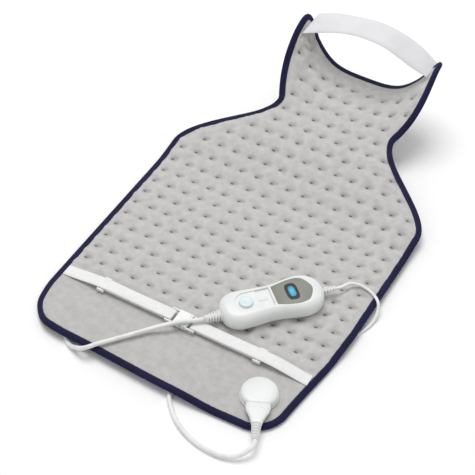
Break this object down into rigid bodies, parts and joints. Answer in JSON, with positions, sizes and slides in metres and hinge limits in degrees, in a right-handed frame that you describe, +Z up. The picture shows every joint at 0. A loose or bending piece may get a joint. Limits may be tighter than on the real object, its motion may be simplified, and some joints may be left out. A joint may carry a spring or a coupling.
{
  "type": "heating pad",
  "caption": "Back and neck heating pad with quilted plush front, waist strap with buckle, neck strap, and a corded slide-switch controller with display on a pull-off connector.",
  "frame": {"origin": "on the floor, below the middle of the pad and its neck strap", "axes": "+X across the pad to its right, +Y from the waist edge to the neck, +Z up from the floor"},
  "size_m": [0.4279, 0.7434, 0.1449],
  "materials": {
    "plush": "short pile",
    "backing": "brushed",
    "binding": "woven tape",
    "webbing": "woven elastic",
    "strap": "woven elastic",
    "patch": "stitched",
    "housing": "satin",
    "relief": "matt",
    "panel": "satin",
    "display_frame": "gloss",
    "display_lens": "gloss",
    "knob": "satin",
    "buckle": "satin",
    "board": "lacquered",
    "board_part": "matt",
    "fuse_sleeve": "matt",
    "steel": "plain",
    "brass": "plain",
    "wire": "matt",
    "tie": "matt"
  },
  "bodies": {
    "pad": {"front_cover": "plush", "back_cover": "backing", "edge_binding": "binding", "heating_wire": "wire", "thermal_cutout": "board_part", "neck_patch": "patch", "neck_strap": "strap", "waist_strap_left": "webbing", "waist_strap_right": "webbing", "buckle_socket": "buckle", "socket_base": "housing", "socket_cover": "housing", "socket_backplate": "steel", "socket_rivet_left": "steel", "socket_rivet_right": "steel", "socket_pin_left": "brass", "socket_pin_right": "brass", "handset_lower_shell": "housing", "handset_upper_shell": "housing", "display_panel": "panel", "display_frame": "display_frame", "display_lens": "display_lens", "switch_mark": "knob", "circuit_board": "board", "lcd_module": "steel", "switch_body": "board_part", "power_triac": "board_part", "board_fuse": "fuse_sleeve", "lead_terminals": "brass", "mains_terminals": "brass", "handset_screw_1": "steel", "handset_screw_2": "steel", "handset_screw_3": "steel", "handset_screw_4": "steel", "lead_strain_relief": "relief", "mains_strain_relief": "relief", "lead_cord": "relief", "mains_cord": "relief", "mains_coil": "relief", "cord_tie": "tie", "mains_plug_relief": "relief", "mains_plug_body": "relief", "mains_plug_pin_left": "brass", "mains_plug_pin_right": "brass"},
    "switch": {"switch_knob": "knob", "switch_carriage": "board_part"},
    "connector": {"connector_lower_shell": "housing", "connector_upper_shell": "housing", "connector_strain_relief": "relief", "connector_sleeve_left": "brass", "connector_sleeve_right": "brass", "connector_screw_1": "steel", "connector_screw_2": "steel", "lead_loop": "relief"},
    "clip": {"buckle_clip": "buckle"},
    "left_slider": {"strap_slider_left": "buckle"},
    "right_slider": {"strap_slider_right": "buckle"}
  },
  "joints": [
    {"name": "switch_slide", "type": "slide", "parent": "pad", "child": "switch", "axis": [0.6691, 0.7431, 0], "range_m": [0, 0.014]},
    {"name": "connector_pull", "type": "slide", "parent": "pad", "child": "connector", "axis": [0.4163, -0.9092, 0], "range_m": [0, 0.02]},
    {"name": "buckle_release", "type": "slide", "parent": "pad", "child": "clip", "axis": [1, 0, 0], "range_m": [0, 0.008]},
    {"name": "left_strap_adjust", "type": "slide", "parent": "pad", "child": "left_slider", "axis": [1, 0, 0], "range_m": [0, 0.04]},
    {"name": "right_strap_adjust", "type": "slide", "parent": "pad", "child": "right_slider", "axis": [-1, 0, 0], "range_m": [0, 0.04]}
  ]
}
